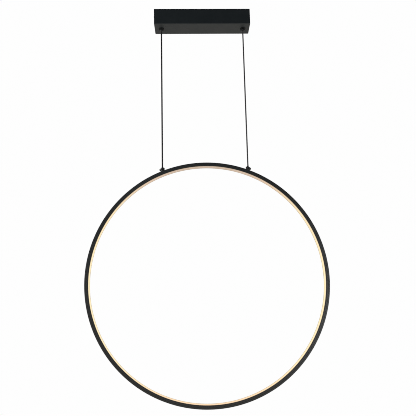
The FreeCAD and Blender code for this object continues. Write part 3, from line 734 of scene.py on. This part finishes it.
def makeRing():
    half, inside = ring["halfWidth"], ring["halfWidth"] - ring["flange"]
    beadLow, beadHigh, beadDepth = ring["bead"]
    grooveLow, grooveHigh, grooveDepth = ring["groove"]
    outer, shoulder = lamp["ringOuter"], half - ring["slope"]
    soft = ring["rounding"]
    backHalf = [
        (ring["lightFloor"], inside, soft["floor"]), (beadHigh, inside, soft["fine"]),
        (beadHigh, inside + beadDepth, soft["fine"]), (beadLow, inside + beadDepth, soft["fine"]),
        (beadLow, inside, soft["fine"]), (ring["inner"], inside, soft["lip"]),
        (ring["inner"], half, soft["face"]),
        (grooveLow, half, soft["groove"]), (grooveLow, half - grooveDepth, soft["fine"]),
        (grooveHigh, half - grooveDepth, soft["fine"]), (grooveHigh, half, soft["groove"]),
        (outer - ring["bevel"], shoulder, soft["outer"]),
        (outer, shoulder - ring["bevel"], soft["outer"]),
    ]
    frontHalf = [(r, -y, rounding) for r, y, rounding in reversed(backHalf)]
    low, high = ring["chamber"]
    chamber = [
        (r, y, soft["floor"])
        for r, y in ((low, -inside), (low, inside), (high, inside), (high, -inside))
    ]
    piece = sweptRound("ring_body", [backHalf + frontHalf, chamber])
    return dress(piece, "ring", materials["ringCoatWithPaintedLight"], ["ring_profile"])


def makeDiffuser():
    gap, soft = diffuser["gap"], diffuser["rounding"]
    half = ring["halfWidth"] - ring["flange"] - gap
    beadLow, beadHigh, beadDepth = ring["bead"]
    inner, outer, lip = beadLow + gap, beadHigh - gap, half + beadDepth - gap
    outline = []
    for n in range(diffuser["crownSteps"] + 1):
        share = 1 - 2 * n / diffuser["crownSteps"]
        rise = diffuser["crown"] * (1 - share * share)
        outline.append((diffuser["front"] - rise, half * share, 0))
    outline += [
        (inner, -half, 0), (inner, -lip, soft), (outer, -lip, soft), (outer, -half, 0),
        (diffuser["back"], -half, soft), (diffuser["back"], half, soft),
        (outer, half, 0), (outer, lip, soft), (inner, lip, soft), (inner, half, 0),
    ]
    piece = sweptRound("ring_light_cover", [outline])
    return dress(piece, "ring", materials["warmOpal"], ["ring_diffuser"])


makeRing()
makeDiffuser()
print("ring made")


# Grippers: cup in the box floor, liner, barrel with a ball foot and a cone nose, and the
# release spring. Heights are from the swivel's centre, radii from the cable's line.
# Profiles are (radius, height, rounding), balls are radius, from height, to height.
gripper = {
    "cup": [
        (0.0066, 0.0060, 0.0003), (0.0080, 0.0060, 0.0004), (0.0080, -0.0032, 0),
        (0.0095, -0.0032, 0.0002), (0.0095, -0.0052, 0.0007), (0.00504, -0.0052, 0.0002),
    ],
    "cupBall": (0.0066, -0.00444, 0),
    "linerBalls": ((0.0063, -0.00436, 0), (0.0055, 0, -0.00322)),
    "nose": [
        (0.0031, -0.0117, 0.0003), (0.0044, -0.0117, 0.0005), (0.0062, -0.0072, 0.0005),
        (0.0037, -0.0072, 0.0003),
    ],
    "footBall": (0.0052, -0.00365, 0),
    "sleeve": [
        (0.0052, 0.0160, 0.0002), (0.0042, 0.0160, 0.0002), (0.0042, 0.0060, 0),
        (0.0034, 0.0020, 0), (0.0031, 0.0020, 0),
    ],
}


def ballArc(radius, fromHeight, toHeight, steps=14):
    # Points on a ball about the swivel, between two heights above its centre
    start, end = (math.asin(max(-1, min(1, h / radius))) for h in (fromHeight, toHeight))
    places = []
    for n in range(steps + 1):
        angle = start + (end - start) * n / steps
        places.append((radius * math.cos(angle), radius * math.sin(angle), 0))
    return places


def makeGripper(side):
    # Each piece with its profile, body, finish, node and slot
    outerBall, innerBall = gripper["linerBalls"]
    pieces = (
        ("_cup", gripper["cup"] + ballArc(*gripper["cupBall"]),
         "canopy", "cupBlack", "_gripper_cup", "black_metal"),
        ("_liner", ballArc(*outerBall) + ballArc(*innerBall),
         "swivel_liners", "naturalNylon", "_swivel_liner", "nylon"),
        ("_barrel", gripper["nose"] + ballArc(*gripper["footBall"]) + gripper["sleeve"],
         side + "_hanger", "noseBlack", "_gripper_barrel", "black_metal"),
    )
    for name, profile, body, finish, node, slot in pieces:
        piece = makeTurned(side + name, profile, sides[side] * lamp["cableX"], lamp["swivelZ"])
        dress(piece, body, materials[finish], [side + node])


# Release spring: a helix with one closed turn at each end, 6 mm long and 4 mm when pressed
spring = {
    "wire": 0.0004,
    "radius": 0.0034,
    "turns": 7,
    "heights": (0.0140, 0.0080),
    "pressKeep": 4 / 6,
    "stepsPerTurn": 32,
    "wireSides": 12,
}


def makeSpring(side):
    x = sides[side] * lamp["cableX"]
    wire, radius, turns = spring["wire"], spring["radius"], spring["turns"]
    top, low = (lamp["swivelZ"] + height for height in spring["heights"])
    steps = turns * spring["stepsPerTurn"]
    path = []
    for n in range(steps + 1):
        share = n / steps
        # Closed end turns, open turns between
        climb = min(max((share * turns - 1) / (turns - 2), 0), 1)
        closed = min(share * turns, 1) + max(share * turns - turns + 1, 0)
        height = wire + closed * wire * 2 + climb * (top - low - 6 * wire)
        angle = 2 * math.pi * turns * share
        path.append(Vector((x + radius * math.cos(angle), radius * math.sin(angle), low + height)))
    angles = [2 * math.pi * k / spring["wireSides"] for k in range(spring["wireSides"])]
    section = [(wire * math.cos(angle), wire * math.sin(angle)) for angle in angles]
    piece = finishMesh(side + "_spring", tubeAlong(path, lambda distance: section))
    dress(piece, side + "_hanger", materials["springSteel"], [side + "_release_spring"])
    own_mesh(piece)


for side in sides:
    makeGripper(side)
    makeSpring(side)
print("grippers made")


# CAD nodes that keep their shape, by material slot
slotFinish = {
    "black_coat": "blackPowderCoat", "plated_steel": "zincPlate",
    "black_metal": "satinBlackMetal", "ball_steel": "polishedSteel",
    "spring_steel": "springSteel", "supply_cable": "blackCableSheath",
    "steel_cable": "greyWireSheath", "driver_plastic": "whiteMoulding",
    "board_green": "greenSolderMask", "component_dark": "darkComponent",
    "terminal_white": "whiteMoulding", "bush_rubber": "softBlackRubber",
    "lead_sheath": "redLeadSheath", "nylon": "naturalNylon",
    "diffuser_opal": "warmOpal", "strip_white": "whiteStrip", "led_yellow": "warmPhosphor",
}
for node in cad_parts.values():
    for slot in node.material_slots:
        slot.material = materials[slotFinish[slot.material.name]]
print("CAD nodes dressed")


# Stage and light: white floor, bright behind the lamp and dim in front of it.
# The world's tones run from the front at -Y to the back at +Y.
studio = {
    "floorZ": -2.35, "floorSize": 14.0, "floorCells": 8,
    "floorTone": (0.80, 0.80, 0.79), "floorRoughness": 0.8,
    "floorGlow": 0.62, "floorTint": (1, 0.89, 0.72),
    "backdrop": (0.99, 0.99, 0.99), "filterPixels": 0.9,
    "world": [
        (0.0, (0.024, 0.034, 0.040)), (0.5, (0.30, 0.30, 0.30)), (1.0, (0.92, 0.92, 0.91)),
    ],
}
# Soft boxes: place, aim and size in metres, power in watts
softBoxes = {
    "left_box": {
        "place": (-1.9, -0.9, -0.8), "aim": (-0.3, 0, -0.8), "size": (0.8, 1.2),
        "power": 16, "colour": (0.96, 0.98, 1),
    },
    "right_box": {
        "place": (1.15, -1.0, -1.2), "aim": (0.4, 0, -1.0), "size": (0.6, 0.7),
        "power": 9, "colour": (0.97, 0.98, 1),
    },
    "upper_box": {
        "place": (-0.42, -0.75, -0.22), "aim": (-0.12, 0, -0.05), "size": (0.25, 0.25),
        "power": 0.57, "colour": (0.80, 0.93, 1),
    },
}


def whiteForCamera(tree, shader, target):
    # The camera sees plain white where nothing stands; everything else is lit by the shader
    path = addNode(tree, "LightPath")
    white = addNode(tree, "Emission", {"Color": (*studio["backdrop"], 1), "Strength": 1.0})
    mix = addNode(tree, "MixShader", {
        "Fac": path.outputs["Is Camera Ray"], 1: shader.outputs[0], 2: white.outputs[0],
    })
    tree.links.new(mix.outputs[0], target)


def makeFloor():
    bm = bmesh.new()
    cells = studio["floorCells"]
    bmesh.ops.create_grid(bm, x_segments=cells, y_segments=cells, size=studio["floorSize"] / 2)
    bmesh.ops.translate(bm, verts=bm.verts, vec=(0, 0, studio["floorZ"]))
    floor = finishMesh("floor", bm)
    material, tree, shader = startMaterial("paleFloor")
    setInputs(tree, shader, {
        "Base Color": (*studio["floorTone"], 1), "Roughness": studio["floorRoughness"],
        "Emission Color": (*studio["floorTint"], 1), "Emission Strength": studio["floorGlow"],
    })
    whiteForCamera(tree, shader, tree.nodes["Material Output"].inputs["Surface"])
    floor.data.materials.append(material)


def makeWorld():
    world = bpy.data.worlds.new("studio")
    bpy.context.scene.world = world
    world.use_nodes = True
    tree = world.node_tree
    place = addNode(tree, "TexCoord")
    axes = addNode(tree, "SeparateXYZ", {0: place.outputs["Generated"]})
    depth = addRange(tree, axes.outputs["Y"], -1.0, 1.0)
    soft = tree.nodes["Background"]
    setInputs(tree, soft, {"Color": addRamp(tree, depth, studio["world"])})
    whiteForCamera(tree, soft, tree.nodes["World Output"].inputs["Surface"])


def addSoftBox(name, box):
    data = bpy.data.lights.new(name, "AREA")
    data.shape = "RECTANGLE"
    data.size, data.size_y = box["size"]
    data.energy = box["power"]
    data.color = box["colour"]
    light = addObject(name, data)
    light.location = box["place"]
    ahead = Vector(box["aim"]) - Vector(box["place"])
    light.rotation_euler = ahead.to_track_quat("-Z", "Y").to_euler()


makeFloor()
makeWorld()
for name, box in softBoxes.items():
    addSoftBox(name, box)
bpy.context.scene.view_settings.view_transform = "Standard"
bpy.context.scene.cycles.filter_width = studio["filterPixels"]
print("stage and light set")

bpy.context.view_layer.update()
